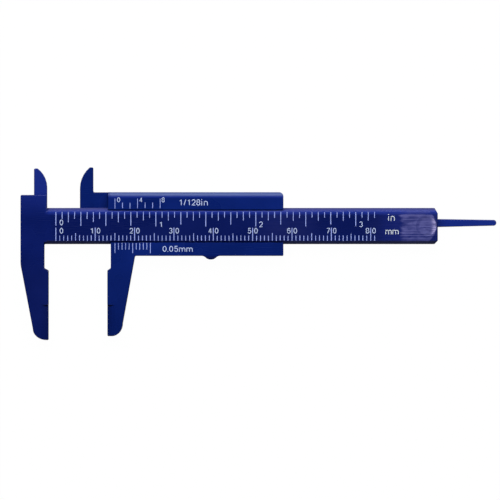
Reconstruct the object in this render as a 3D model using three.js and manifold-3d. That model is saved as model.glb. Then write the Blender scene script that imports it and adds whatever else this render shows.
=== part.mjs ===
// A plastic vernier caliper, 0 to 80 mm, lying on its back.
//
// Two mouldings make the whole object. The beam carries the fixed jaws, and its long edges lean in
// towards the front as a dovetail. The slider is a back plate with a rail along each edge, whose lips
// close over the dovetail. It carries the moving jaws and the depth rod. A U-shaped slot in its plate
// sets a tongue free, which presses on the beam's back and holds the slider where it is put.
//
// Drawing frame, in millimetres: x = 0 is the fixed jaw's outside measuring face and +X runs along
// the beam, y = 0 is the beam's centre line and +Y points to the inside jaws, z = 0 is the surface
// that the caliper lies on and +Z is the side with the scales. The finished group is then moved so
// that its origin is the middle of its box, at the bottom.
import * as THREE from 'three';
import { mergeVertices } from 'three/addons/utils/BufferGeometryUtils.js';
import Module from 'manifold-3d';

// Where the slider stands
const JAW_OPENING = 15; // between the outside jaws, as drawn
const CLOSED_GAP = 0.02; // left between the measuring faces when the slider is pushed home

// Beam
const BEAM_REACH = 99; // from the measuring face to the free end
const BEAM_WIDTH = 9.2; // across the back
const BEAM_THICKNESS = 2.4;
const DOVETAIL_INSET = 0.75; // how far each long edge leans in
const DOVETAIL_FOOT = 0.8; // height of the upright part below the lean
const END_CHAMFER_LENGTH = 0.75; // corners cut off the free end
const UPPER_CHAMFER_WIDTH = 1.45;
const LOWER_CHAMFER_WIDTH = 0.9;
const DISH_LENGTH = 9.4; // shallow thumb dish at the free end
const DISH_DEPTH = 0.12;
const DISH_END_MARGIN = 0.3;
const DISH_SIDE_MARGIN = 0.35;
const DIMPLE_DIAMETER = 5.2; // deeper round hollow in the dish, for the fingertip
const DIMPLE_DEPTH = 0.25;
const DIMPLE_END_MARGIN = 0.05;

// Fixed head and its jaws, measured from the beam's edges and from the measuring face
const HEAD_WIDTH = 7.05; // measuring face to the outer edge
const HEAD_RISE = 3.3; // above the beam's upper edge
const HEAD_SETBACK = 0.33; // the head's inner edge above the beam
const HEAD_CORNER = 0.35;
const FIXED_RELIEF = 1.08; // how far the jaw is cut back above its measuring face
const FIXED_SHANK = 5.2; // straight part of the outer edge below the beam
const FIXED_JAW_REACH = 24.4; // beam's lower edge to the jaw's tip
const FIXED_TIP_WIDTH = 3.93;
const FIXED_TIP_ROUND = 2.9; // height of the curve that ends the outer edge
const FIXED_TIP_FLAT = 0.45; // level end, beside the measuring face

// Slider, measured from the channel that the beam runs in
const SLIDER_LENGTH = 44.75; // measuring face to the plate's right edge
const PLATE_THICKNESS = 1.2;
const UPPER_WALL = 3.9; // rail outside the channel, on the inside-jaw edge
const LOWER_WALL = 2.9; // rail outside the channel, on the outside-jaw edge
const LIP_PROUD = 0.2; // lips above the beam's front face
const RAIL_ROUND = 0.95; // round along the upper rail's outer edge
const RAIL_END_SLOPE = 0.4; // lean of the upper rail's left end
const RAIL_END_GAP = 0.23; // upper rail to the fixed head, when closed
const LOWER_RAIL_ROUND = 0.3;
const RAIL_CORNER = 1.1; // upper rail's right end
const RUN_CLEARANCE = 0.1; // between the beam and the slider, on each side

// Moving outside jaw
const MOVING_RELIEF = 0.86;
const MOVING_JAW_REACH = 20.4; // rail's outer edge to the jaw's tip
const MOVING_ROOT_WIDTH = 7;
const MOVING_TIP_WIDTH = 3.9;
const MOVING_TIP_ROUND = 3.3;
const MOVING_TIP_FLAT = 1.2;
const WING_DROP = 3.28; // the plate's left wing ends this far above the beam's lower edge
const WING_CORNER = 0.3;

// Both outside jaws
const SHOULDER_DROP = 6.1; // beam's lower edge to the end of the relief
const SHOULDER_SLOPE = 0.6; // height of the sloped shoulder
const KNIFE_LENGTH = 8.9; // thinned part of the fixed jaw's tip
const KNIFE_WIDTH = 1.95;
const KNIFE_EDGE_THICKNESS = 2.4;
const TIP_CORNER = 0.3;

// Inside jaws
const INSIDE_LINE = 3.65; // measuring face to the line where both inside jaws measure
const FIXED_INSIDE_RISE = 10.05; // beam's upper edge to the fixed tip
const FIXED_INSIDE_STRAIGHT = 5.2; // straight part of its back
const FIXED_INSIDE_THICKNESS = 1.6;
const MOVING_INSIDE_RISE = 10.35;
const MOVING_INSIDE_STRAIGHT = 5;
const INSIDE_TIP_WIDTH = 0.9;
const INSIDE_TIP_CORNER = 0.35;

// Depth rod
const ROD_ROOT_WIDTH = 3.6;
const ROD_TIP_WIDTH = 1.45;
const ROD_ROOT_OFFSET = 0.58; // its middle above the beam's centre line, at the root
const ROD_TIP_OFFSET = 0.83;
const ROD_THICKNESS = 1.2;
const ROD_FILLET = 1;
const ROD_TIP_ROUND = 0.7;

// Spring tongue in the plate
const SLOT_LEFT = 15.93; // moving measuring face to the slot's round end
const SLOT_LENGTH = 7.2; // to the tongue's root
const SLOT_TAPER = 0.85; // how far its two arms run on past the root, each to a narrow end
const SLOT_WIDTH = 0.42; // width of the cut round the tongue
const TONGUE_WIDTH = 4.34;
const TONGUE_THICKNESS = 0.8;
const TONGUE_OFFSET = 0.82; // its middle above the beam's centre line
const PIP_RADIUS = 0.45;
const PIP_FROM_END = 3.1;
const PIP_GAP = 0.02; // pip to the beam's back

// Thumb stop on the slider's lower edge
const THUMB_FROM_FACE = 26.3;
const THUMB_HEIGHT = 0.92;
const THUMB_HALF_BASE = 1.8;
const THUMB_HALF_TOP = 0.75;
const THUMB_ROUND = 1.5;

// Making
const SMALL_FILLET = 0.35; // inside corners of the mouldings
const OVERRUN = 1; // how far every cut runs past what it cuts
const ROOT_DEPTH = 0.5; // how far a joined form reaches into the one that carries it
const ARC_STEP = Math.PI / 16;
const DISH_SEGMENTS = 48;
const DISH_RINGS = 24;
const PIP_SEGMENTS = 20;
const PIP_STEPS = 5;
const BLUE = 0x0e2a86;
const BEAM_ROUGHNESS = 0.35;
const SLIDER_ROUGHNESS = 0.38;

// Heights that follow from the sizes above
const beamBack = PLATE_THICKNESS + RUN_CLEARANCE;
const beamFront = beamBack + BEAM_THICKNESS;
const railFront = beamFront + LIP_PROUD;
const kneeHeight = beamBack + DOVETAIL_FOOT;

// Places across the beam
const beamEdge = BEAM_WIDTH / 2;
const frontEdge = beamEdge - DOVETAIL_INSET;
const channelEdge = beamEdge + RUN_CLEARANCE;
const leanShare = DOVETAIL_INSET / (BEAM_THICKNESS - DOVETAIL_FOOT);
const sliderTop = channelEdge + UPPER_WALL;
const sliderBottom = -channelEdge - LOWER_WALL;
const shoulderTop = -beamEdge - SHOULDER_DROP;
const shoulderEnd = shoulderTop - SHOULDER_SLOPE;
const fixedTip = -beamEdge - FIXED_JAW_REACH;
const movingTip = sliderBottom - MOVING_JAW_REACH;
const knifeTop = fixedTip + KNIFE_LENGTH;
const fixedInsideTip = beamEdge + FIXED_INSIDE_RISE;
const movingInsideTip = beamEdge + MOVING_INSIDE_RISE;
const wingBottom = -beamEdge + WING_DROP;

const wasm = await Module();
wasm.setup();

// A closed three.js geometry as a solid that can be joined and cut.
function solid(geometry) {
  const bare = geometry.clone();
  bare.deleteAttribute('normal');
  bare.deleteAttribute('uv');
  const merged = mergeVertices(bare);
  return new wasm.Manifold(new wasm.Mesh({
    numProp: 3,
    vertProperties: merged.getAttribute('position').array,
    triVerts: new Uint32Array(merged.index.array),
  }));
}

function joined(first, ...others) {
  return others.reduce((sum, next) => sum.add(next), first);
}

function cut(body, ...tools) {
  return tools.reduce((left, tool) => left.subtract(tool), body);
}

function geometryOf(body) {
  const mesh = body.getMesh();
  const indexed = new THREE.BufferGeometry();
  indexed.setAttribute('position', new THREE.BufferAttribute(mesh.vertProperties, mesh.numProp));
  indexed.setIndex(new THREE.BufferAttribute(mesh.triVerts, 1));
  const flat = indexed.toNonIndexed();
  flat.computeVertexNormals();
  return flat;
}

// The points of a round corner: [x, y, radius] between its two neighbours. The radius gives way
// where a side is too short for it.
function cornerPoints(before, corner, after) {
  const [x, y, radius = 0] = corner;
  const here = new THREE.Vector2(x, y);
  const back = new THREE.Vector2(before[0], before[1]).sub(here);
  const on = new THREE.Vector2(after[0], after[1]).sub(here);
  const room = Math.min(back.length(), on.length()) / 2;
  back.normalize();
  on.normalize();
  const half = Math.acos(THREE.MathUtils.clamp(back.dot(on), -1, 1)) / 2;
  if (radius === 0 || half > Math.PI / 2 - ARC_STEP / 8) return [here];
  const run = Math.min(radius / Math.tan(half), room);
  const r = run * Math.tan(half);
  const start = here.clone().addScaledVector(back, run);
  const middle = back.clone().add(on).normalize().multiplyScalar(r / Math.sin(half)).add(here);
  const turn = Math.PI - 2 * half;
  const side = Math.sign(back.cross(on));
  const steps = Math.max(2, Math.ceil(turn / ARC_STEP));
  return Array.from({ length: steps + 1 }, (_, i) =>
    start.clone().rotateAround(middle, -side * turn * i / steps));
}

// A closed outline from corners [x, y, radius].
function outline(corners) {
  const count = corners.length;
  const points = corners.flatMap((corner, i) =>
    cornerPoints(corners[(i + count - 1) % count], corner, corners[(i + 1) % count]));
  return new THREE.Shape(points);
}

// Points of an ellipse's arc, from one angle to the other.
function arc(centreX, centreY, radiusX, radiusY, from, to) {
  const steps = Math.max(2, Math.ceil(Math.abs(to - from) / ARC_STEP));
  return Array.from({ length: steps + 1 }, (_, i) => {
    const angle = from + (to - from) * i / steps;
    return [centreX + radiusX * Math.cos(angle), centreY + radiusY * Math.sin(angle)];
  });
}

// An outline seen from the front, from one height to another.
function slab(shape, low, high) {
  const geometry = new THREE.ExtrudeGeometry(shape, { depth: high - low, bevelEnabled: false });
  return solid(geometry.translate(0, 0, low));
}

// A section in (y, z), run along X.
function bar(shape, left, right) {
  const geometry = new THREE.ExtrudeGeometry(shape, { depth: right - left, bevelEnabled: false });
  const axes = new THREE.Matrix4().makeBasis(
    new THREE.Vector3(0, 1, 0), new THREE.Vector3(0, 0, 1), new THREE.Vector3(1, 0, 0));
  return solid(geometry.applyMatrix4(axes).translate(left, 0, 0));
}

// A section in (z, x), run along Y.
function crossBar(shape, low, high) {
  const geometry = new THREE.ExtrudeGeometry(shape, { depth: high - low, bevelEnabled: false });
  const axes = new THREE.Matrix4().makeBasis(
    new THREE.Vector3(0, 0, 1), new THREE.Vector3(1, 0, 0), new THREE.Vector3(0, 1, 0));
  return solid(geometry.applyMatrix4(axes).translate(0, low, 0));
}

// What is ground off an outside jaw's tip, in front and behind, to leave a thin measuring edge.
// The jaw's body lies on the given side of its face: -1 for the fixed jaw and 1 for the moving one.
function knifeCuts(side, jawFront) {
  const middle = jawFront / 2;
  const slope = (jawFront - KNIFE_EDGE_THICKNESS) / 2 / KNIFE_WIDTH;
  return [1, -1].map((facing) => {
    const edge = middle + facing * KNIFE_EDGE_THICKNESS / 2;
    const past = edge - facing * slope * OVERRUN;
    const beyond = middle + facing * (jawFront / 2 + OVERRUN);
    const heel = beyond - facing * OVERRUN;
    const corners = [[past, -side * OVERRUN], [heel, side * KNIFE_WIDTH],
      [beyond, side * KNIFE_WIDTH], [beyond, -side * OVERRUN]];
    return crossBar(outline(corners), fixedTip - OVERRUN, knifeTop);
  });
}

// The corners of an inside jaw, from the tip on the measuring line to the foot of its curved back.
// Its body lies on the given side of the line.
function insideJawCorners(side, width, straight, tip) {
  const line = -INSIDE_LINE;
  const back = line + side * width;
  const start = beamEdge + straight;
  const across = width - INSIDE_TIP_WIDTH;
  const rise = tip - start;
  // The back is an arc that leaves the straight part smoothly and ends where the tip begins.
  const radius = (across * across + rise * rise) / (2 * across);
  const sweep = Math.asin(Math.min(1, rise / radius));
  const curve = arc(back - side * radius, start, side * radius, radius, 0, sweep);
  const [tipPoint, ...rest] = curve.reverse();
  return [[line, tip, INSIDE_TIP_CORNER], [...tipPoint, INSIDE_TIP_CORNER], ...rest];
}

function dovetailBar() {
  const section = outline([
    [-beamEdge, beamBack], [beamEdge, beamBack], [beamEdge, kneeHeight],
    [frontEdge, beamFront], [-frontEdge, beamFront], [-beamEdge, kneeHeight]]);
  return bar(section, -FIXED_RELIEF - ROOT_DEPTH, BEAM_REACH);
}

// The two corners cut off the beam's free end: each cut runs on in line with its chamfer.
function endCorners() {
  return [[1, UPPER_CHAMFER_WIDTH], [-1, LOWER_CHAMFER_WIDTH]].map(([side, width]) => slab(outline([
    [BEAM_REACH - END_CHAMFER_LENGTH * 2, side * (beamEdge + width)],
    [BEAM_REACH + END_CHAMFER_LENGTH, side * (beamEdge + width)],
    [BEAM_REACH + END_CHAMFER_LENGTH, side * (beamEdge - width * 2)],
  ]), beamBack - OVERRUN, beamFront + OVERRUN));
}

// A hollow in the beam's front face is the cap of a flat ellipsoid whose middle stands above the face.
// The share is the ellipsoid's half height over the hollow's depth: near 1 its walls are steep.
const dishShare = 3.2;
const dimpleShare = 1.6;
function hollow(middleX, halfLength, halfWidth, depth, share) {
  const rimShare = Math.sqrt(1 - (1 - 1 / share) ** 2);
  const halfHeight = depth * share;
  const ball = new THREE.SphereGeometry(1, DISH_SEGMENTS, DISH_RINGS);
  ball.rotateX(Math.PI / 2);
  ball.scale(halfLength / rimShare, halfWidth / rimShare, halfHeight);
  ball.translate(middleX, 0, beamFront + halfHeight - depth);
  return solid(ball);
}

// The thumb dish at the free end, with a dimple near its right end.
function thumbDish() {
  const dishEnd = BEAM_REACH - DISH_END_MARGIN;
  const halfLength = DISH_LENGTH / 2;
  const dimple = DIMPLE_DIAMETER / 2;
  return [
    hollow(dishEnd - halfLength, halfLength, frontEdge - DISH_SIDE_MARGIN, DISH_DEPTH, dishShare),
    hollow(dishEnd - DIMPLE_END_MARGIN - dimple, dimple, dimple, DIMPLE_DEPTH, dimpleShare),
  ];
}

// The head and the fixed outside jaw, in one outline.
function headOutline() {
  const outer = -HEAD_WIDTH;
  const shankEnd = -beamEdge - FIXED_SHANK;
  const tipStart = fixedTip + FIXED_TIP_ROUND;
  const tipRun = FIXED_TIP_WIDTH - FIXED_TIP_FLAT;
  const middle = -FIXED_TIP_WIDTH + tipRun;
  const tipCurve = arc(middle, tipStart, tipRun, FIXED_TIP_ROUND, Math.PI, Math.PI * 1.5);
  return outline([
    [outer, beamEdge + HEAD_RISE, HEAD_CORNER],
    [outer, shankEnd, FIXED_SHANK],
    ...tipCurve,
    [0, fixedTip, TIP_CORNER],
    [0, shoulderEnd, TIP_CORNER],
    [-FIXED_RELIEF, shoulderTop, SMALL_FILLET],
    [-FIXED_RELIEF, -beamEdge + ROOT_DEPTH],
    [-HEAD_SETBACK, -beamEdge + ROOT_DEPTH],
    [-HEAD_SETBACK, beamEdge + HEAD_RISE],
  ].reverse());
}

// The round inside corner where the fixed jaw meets the beam's lower edge.
function reliefFillet() {
  const web = outline([
    [-FIXED_RELIEF - ROOT_DEPTH, -beamEdge + ROOT_DEPTH],
    [-FIXED_RELIEF - ROOT_DEPTH, -beamEdge - SMALL_FILLET * 2],
    [-FIXED_RELIEF, -beamEdge - SMALL_FILLET * 2],
    [-FIXED_RELIEF, -beamEdge, SMALL_FILLET],
    [-FIXED_RELIEF + SMALL_FILLET * 2, -beamEdge],
    [-FIXED_RELIEF + SMALL_FILLET * 2, -beamEdge + ROOT_DEPTH],
  ]);
  return slab(web, beamBack, kneeHeight);
}

function beam() {
  const head = slab(headOutline(), beamBack, beamFront);
  // Below the slider's wing the jaw is as deep as the whole caliper.
  const padTop = wingBottom - SMALL_FILLET;
  const padLimits = outline([
    [-HEAD_WIDTH - OVERRUN, fixedTip - OVERRUN], [OVERRUN, fixedTip - OVERRUN],
    [OVERRUN, shoulderTop], [-FIXED_RELIEF, shoulderTop], [-FIXED_RELIEF, padTop],
    [-HEAD_WIDTH - OVERRUN, padTop]]);
  const pad = slab(headOutline(), 0, beamBack + ROOT_DEPTH)
    .intersect(slab(padLimits, -OVERRUN, beamFront));
  const inside = slab(outline([
    [-INSIDE_LINE, beamEdge],
    ...insideJawCorners(1, INSIDE_LINE - HEAD_SETBACK, FIXED_INSIDE_STRAIGHT, fixedInsideTip),
    [-HEAD_SETBACK, beamEdge]].reverse()), beamBack, beamBack + FIXED_INSIDE_THICKNESS);
  const whole = joined(dovetailBar(), head, pad, inside, reliefFillet());
  return cut(whole, ...endCorners(), ...thumbDish(), ...knifeCuts(-1, beamFront));
}

// The slider is drawn in its closed place, where x = 0 is its own outside measuring face.

// The channel that the beam runs in, with the lips' undersides parallel to the dovetail.
function channel() {
  const past = railFront + OVERRUN;
  const pastEdge = channelEdge - (past - kneeHeight) * leanShare;
  return bar(outline([
    [-channelEdge, PLATE_THICKNESS], [channelEdge, PLATE_THICKNESS], [channelEdge, kneeHeight],
    [pastEdge, past], [-pastEdge, past], [-channelEdge, kneeHeight],
  ]), -HEAD_WIDTH, SLIDER_LENGTH + OVERRUN);
}

// The plate with its wing and the moving inside jaw. It ends inside the rails.
function plateOutline() {
  const line = -INSIDE_LINE;
  const railLeft = RAIL_END_GAP - HEAD_SETBACK;
  return outline([
    [-HEAD_WIDTH, wingBottom, WING_CORNER],
    [MOVING_RELIEF, wingBottom, SMALL_FILLET],
    [MOVING_RELIEF, -channelEdge - ROOT_DEPTH],
    [SLIDER_LENGTH, -channelEdge - ROOT_DEPTH],
    [SLIDER_LENGTH, channelEdge + ROOT_DEPTH],
    [railLeft + ROOT_DEPTH, channelEdge + ROOT_DEPTH],
    [railLeft + ROOT_DEPTH, sliderTop],
    [line, sliderTop, SMALL_FILLET],
    ...insideJawCorners(-1, HEAD_WIDTH - INSIDE_LINE, MOVING_INSIDE_STRAIGHT, movingInsideTip),
  ]);
}

function rodOutline() {
  const tip = BEAM_REACH - CLOSED_GAP;
  const low = ROD_ROOT_OFFSET - ROD_ROOT_WIDTH / 2;
  const high = ROD_ROOT_OFFSET + ROD_ROOT_WIDTH / 2;
  return outline([
    [SLIDER_LENGTH - ROOT_DEPTH, low - ROD_FILLET * 2],
    [SLIDER_LENGTH, low - ROD_FILLET * 2],
    [SLIDER_LENGTH, low, ROD_FILLET],
    [tip, ROD_TIP_OFFSET - ROD_TIP_WIDTH / 2, ROD_TIP_ROUND],
    [tip, ROD_TIP_OFFSET + ROD_TIP_WIDTH / 2, ROD_TIP_ROUND],
    [SLIDER_LENGTH, high, ROD_FILLET],
    [SLIDER_LENGTH, high + ROD_FILLET * 2],
    [SLIDER_LENGTH - ROOT_DEPTH, high + ROD_FILLET * 2],
  ]);
}

function upperRail() {
  const left = RAIL_END_GAP - HEAD_SETBACK;
  const inner = channelEdge - ROOT_DEPTH;
  const block = slab(outline([
    [left, inner], [SLIDER_LENGTH, inner], [SLIDER_LENGTH, sliderTop, RAIL_CORNER],
    [left, sliderTop]]), 0, railFront);
  const section = outline([
    [0, -OVERRUN], [sliderTop, -OVERRUN], [sliderTop, railFront, RAIL_ROUND], [0, railFront]]);
  const endSlope = crossBar(outline([
    [PLATE_THICKNESS, left - OVERRUN], [PLATE_THICKNESS, left],
    [railFront + OVERRUN, left + RAIL_END_SLOPE],
    [railFront + OVERRUN, left - OVERRUN],
  ].reverse()), 0, sliderTop + OVERRUN);
  return cut(block.intersect(bar(section, -HEAD_WIDTH, SLIDER_LENGTH + OVERRUN)), endSlope);
}

// A flank of the thumb stop, from the rail's edge to its blunt top. sign is -1 on the left.
function stopFlank(sign) {
  return [
    [THUMB_FROM_FACE + sign * THUMB_HALF_BASE, sliderBottom, THUMB_ROUND],
    [THUMB_FROM_FACE + sign * THUMB_HALF_TOP, sliderBottom - THUMB_HEIGHT, THUMB_ROUND]];
}

// The lower rail with the thumb stop and the moving outside jaw.
function lowerRailOutline() {
  const tipStart = movingTip + MOVING_TIP_ROUND;
  const tipRun = MOVING_TIP_WIDTH - MOVING_TIP_FLAT;
  const tipCurve = arc(MOVING_TIP_FLAT, tipStart, tipRun, MOVING_TIP_ROUND, -Math.PI / 2, 0);
  return outline([
    [MOVING_RELIEF, -channelEdge + ROOT_DEPTH],
    [MOVING_RELIEF, shoulderTop, SMALL_FILLET],
    [0, shoulderEnd, TIP_CORNER],
    [0, movingTip, TIP_CORNER],
    ...tipCurve,
    [MOVING_ROOT_WIDTH, sliderBottom, SMALL_FILLET],
    ...stopFlank(-1),
    ...stopFlank(1).reverse(),
    [SLIDER_LENGTH, sliderBottom, LOWER_RAIL_ROUND],
    [SLIDER_LENGTH, -channelEdge + ROOT_DEPTH],
  ]);
}

// The tongue's outline grown by a margin: a round end on the left and square at the root.
const noseShare = 0.82; // how far the round end bulges, as a share of its half width
function tongueOutline(margin, root) {
  const left = SLOT_LEFT + SLOT_WIDTH - margin;
  const halfWidth = TONGUE_WIDTH / 2 + margin;
  const nose = halfWidth * noseShare;
  return outline([
    ...arc(left + nose, TONGUE_OFFSET, nose, halfWidth, Math.PI / 2, Math.PI * 1.5),
    [root, TONGUE_OFFSET - halfWidth],
    [root, TONGUE_OFFSET + halfWidth],
  ]);
}

// The slot round the tongue. Its two arms run on past the tongue's root, straight on the inside and
// narrowing on the outside.
const armEndShare = 0.4; // width of an arm's end, as a share of the slot's width
function tongueSlot(root) {
  const armEnd = (side) => {
    const inner = TONGUE_OFFSET + side * TONGUE_WIDTH / 2;
    const outer = inner + side * SLOT_WIDTH;
    const end = SLOT_WIDTH * armEndShare;
    return outline([
      [root - SLOT_WIDTH, outer], [root - SLOT_WIDTH, inner], [root + SLOT_TAPER, inner, end / 2],
      [root + SLOT_TAPER, inner + side * end, end / 2], [root, outer]]);
  };
  return [tongueOutline(SLOT_WIDTH, root), armEnd(1), armEnd(-1)].map((shape) =>
    slab(shape, -OVERRUN, PLATE_THICKNESS + OVERRUN));
}

function slider() {
  const root = SLOT_LEFT + SLOT_LENGTH;
  const rails = cut(joined(upperRail(), slab(lowerRailOutline(), 0, railFront)), channel());
  const plate = slab(plateOutline(), 0, PLATE_THICKNESS);
  const whole = joined(plate, slab(rodOutline(), 0, ROD_THICKNESS), rails);
  return cut(whole, ...tongueSlot(root), ...knifeCuts(1, railFront));
}

// The tongue is moulded in one with the plate and bends at its root. It is thinner than the plate
// behind, so it can give without touching the table, and its pip reaches for the beam.
function springTongue() {
  const root = SLOT_LEFT + SLOT_LENGTH;
  const blade = slab(tongueOutline(0, root), PLATE_THICKNESS - TONGUE_THICKNESS, PLATE_THICKNESS);
  const height = RUN_CLEARANCE - PIP_GAP;
  const foot = -TONGUE_THICKNESS / 2;
  const profile = [new THREE.Vector2(0, foot), new THREE.Vector2(PIP_RADIUS, foot)];
  for (let i = 0; i <= PIP_STEPS; i += 1) {
    const across = 1 - i / PIP_STEPS;
    profile.push(new THREE.Vector2(PIP_RADIUS * across, height * (1 - across * across)));
  }
  const pip = new THREE.LatheGeometry(profile, PIP_SEGMENTS);
  pip.rotateX(Math.PI / 2);
  pip.translate(SLOT_LEFT + SLOT_WIDTH + PIP_FROM_END, TONGUE_OFFSET, PLATE_THICKNESS);
  return joined(blade, solid(pip));
}

function piece(name, body, roughness) {
  const material = new THREE.MeshStandardMaterial({ color: BLUE, roughness, metalness: 0 });
  const mesh = new THREE.Mesh(geometryOf(body), material);
  mesh.name = name;
  return mesh;
}

const fixedParts = new THREE.Group();
fixedParts.add(piece('beam', beam(), BEAM_ROUGHNESS));

const movingParts = new THREE.Group();
movingParts.add(piece('slider', slider(), SLIDER_ROUGHNESS));
movingParts.add(piece('spring_tongue', springTongue(), SLIDER_ROUGHNESS));
movingParts.position.x = JAW_OPENING + CLOSED_GAP;

const caliper = new THREE.Group();
caliper.add(fixedParts, movingParts);
const box = new THREE.Box3().setFromObject(caliper);
caliper.position.set(-(box.min.x + box.max.x) / 2, -(box.min.y + box.max.y) / 2, 0);

export default caliper;
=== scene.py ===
"""A blue plastic vernier caliper with white printed scales, lying on a white table under a camera that
looks straight down. Lengths on the caliper are in millimetres and become metres where a mesh is made."""

import math
import random

import bmesh
import bpy
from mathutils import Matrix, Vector


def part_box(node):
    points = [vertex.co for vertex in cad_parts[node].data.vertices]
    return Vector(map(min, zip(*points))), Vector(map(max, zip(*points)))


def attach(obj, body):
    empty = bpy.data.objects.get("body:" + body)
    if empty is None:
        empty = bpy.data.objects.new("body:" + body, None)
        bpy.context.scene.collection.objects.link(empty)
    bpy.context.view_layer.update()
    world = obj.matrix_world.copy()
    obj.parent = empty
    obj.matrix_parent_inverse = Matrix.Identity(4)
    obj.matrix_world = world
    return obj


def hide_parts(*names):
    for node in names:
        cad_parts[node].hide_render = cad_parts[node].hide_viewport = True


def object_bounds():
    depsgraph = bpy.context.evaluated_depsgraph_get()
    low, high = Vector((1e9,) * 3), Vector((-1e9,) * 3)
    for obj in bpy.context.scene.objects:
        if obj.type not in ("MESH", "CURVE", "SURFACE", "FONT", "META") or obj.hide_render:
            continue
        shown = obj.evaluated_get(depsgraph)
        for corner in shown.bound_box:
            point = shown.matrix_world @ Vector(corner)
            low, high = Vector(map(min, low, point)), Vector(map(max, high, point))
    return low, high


MM = 0.001
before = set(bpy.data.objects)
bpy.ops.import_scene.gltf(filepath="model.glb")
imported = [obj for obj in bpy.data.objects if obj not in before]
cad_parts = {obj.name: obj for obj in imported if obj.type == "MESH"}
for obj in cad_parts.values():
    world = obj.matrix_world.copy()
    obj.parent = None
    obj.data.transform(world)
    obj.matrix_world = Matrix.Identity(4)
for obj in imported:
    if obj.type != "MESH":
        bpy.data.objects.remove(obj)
cad_low, cad_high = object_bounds()
dice = random.Random(7)

# The frame of the drawing: x from the measuring face of each outside jaw, y from the beam's centre line
HEAD_WIDTH = 7.05
JAW_REACH = 29.0
beam_low, beam_high = (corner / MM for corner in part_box("beam"))
slider_low, slider_high = (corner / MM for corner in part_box("slider"))
tongue_low, tongue_high = (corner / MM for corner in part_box("spring_tongue"))
centre_y = beam_low.y + JAW_REACH
fixed_x = beam_low.x + HEAD_WIDTH
moving_x = slider_low.x + HEAD_WIDTH

# Marks and ink. Each kind of mark has its step beside it, counted in marks
INCH = 25.4
ZERO_FROM_FACE = 1.95
MM_MARKS = 82
MM_PER_NUMBER = 10
MM_KINDS = (("ten", MM_PER_NUMBER), ("five", 5), ("one", 1))
SIXTEENTH_MARKS = 52
SIXTEENTHS = 16
INCH_KINDS = (("half", SIXTEENTHS // 2), ("quarter", SIXTEENTHS // 4), ("eighth", SIXTEENTHS // 8),
              ("sixteenth", 1))
INK_THICKNESS = 0.02
INK_SUNK = 0.01
MARK_WIDTH = 0.175
LONG_MARK_WIDTH = 0.195
VERNIER_MARK_WIDTH = 0.155
MARK_WIDTH_SPREAD = 0.02
MARK_END_SPREAD = 0.04
MARK_END_STEPS = 4

# Beam scale: feet and tops from the centre line, and how far a number's middle is from its mark
MM_MARK_FOOT = -3.74
MM_MARK_TOPS = {"one": -2.4, "five": -1.82, "ten": -0.4}
INCH_MARK_TOP = 3.6
INCH_MARK_FEET = {"sixteenth": 2.08, "eighth": 1.36, "quarter": 0.34, "half": -0.12}
FIRST_INCH_MARKS = 13
FIRST_INCH_MARK_FEET = {"sixteenth": 1.83, "eighth": 0.96, "quarter": 0.03, "half": 0.03}
BEAM_NUMBER_HEIGHT = 1.42
MM_NUMBER_FOOT = -1.91
MM_LEFT_DIGIT = -0.82
MM_RIGHT_DIGIT = 0.84
MM_FIRST_NUMBER = 1.4
INCH_NUMBER_FOOT = -0.28
INCH_NUMBER_OFFSET = 1.32
INCH_ZERO_FOOT = 0.2
INCH_ZERO_OFFSET = 1.4

# Verniers on the slider's rails
INCH_VERNIER_MARKS = 7
INCH_VERNIER_STEP = 1.913
INCH_VERNIER_MARKS_PER_NUMBER = 3
INCH_VERNIER_KINDS = (("long", INCH_VERNIER_MARKS_PER_NUMBER), ("short", 1))
INCH_VERNIER_FOOT = 4.49
INCH_VERNIER_TOPS = {"long": 7.0, "short": 5.93}
INCH_VERNIER_NUMBERS = (("0", 0.93), ("4", 0.85), ("8", 0.76))  # each with its offset from its mark
INCH_VERNIER_NUMBER_HEIGHT = 1.25
INCH_VERNIER_NUMBER_FOOT = 6.03
MM_VERNIER_MARKS = 11
MM_VERNIER_STEP = 0.9
MM_VERNIER_KINDS = (("long", 5), ("short", 1))
MM_VERNIER_TOP = -4.28
MM_VERNIER_FEET = {"long": -6.9, "short": -6.0}

# Words: middle, foot, height of a capital, weight of the strokes as a share of it, and length
NUMBER_WEIGHT = 0.12
WORD_WEIGHT = 0.12
UNIT_WEIGHT = 0.105
UNIT_WORDS = [
    ("in", 87.2, 1.34, 1.66, UNIT_WEIGHT, 1.72),
    ("mm", 87.37, -2.1, 1.58, UNIT_WEIGHT, 3.35),
]
VERNIER_WORDS = [
    ("1/128in", 21.87, 5.22, 1.58, WORD_WEIGHT, 7.32),
    ("0.05mm", 17.88, -6.54, 1.48, WORD_WEIGHT, 7.64),
]

# Strokes of the characters: degrees from point to point of a bow, and how they meet
BOW_STEP = 20
MITRE_LIMIT = 1.6
JOIN_GAP = 0.0001

# Moulded edges
WELD_DISTANCE = 0.001
FLAT_ANGLE = math.radians(0.3)
CRISP_ANGLE = math.radians(14)
ROUND_ANGLE = math.radians(40)
EDGE_RADIUS = 0.2
EDGE_SEGMENTS = 3
EDGE_PROFILE = 0.5
FOLD_DISTANCE = 0.003
TONGUE_EDGE_RADIUS = 0.05
PLACE_TOLERANCE = 0.02
LIP_REACH = 4.3
FRONT_EDGE = 3.85

# Colours, linear
BEAM_BLUE = (0.0014, 0.0090, 0.121)
SLIDER_BLUE = (0.0010, 0.0130, 0.148)
# Painted light, and painted shade
PAINTED_LIGHT_BLUE = (0.013, 0.033, 0.305)
PAINTED_SHADE_BLUE = (0.0015, 0.0065, 0.075)
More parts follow.
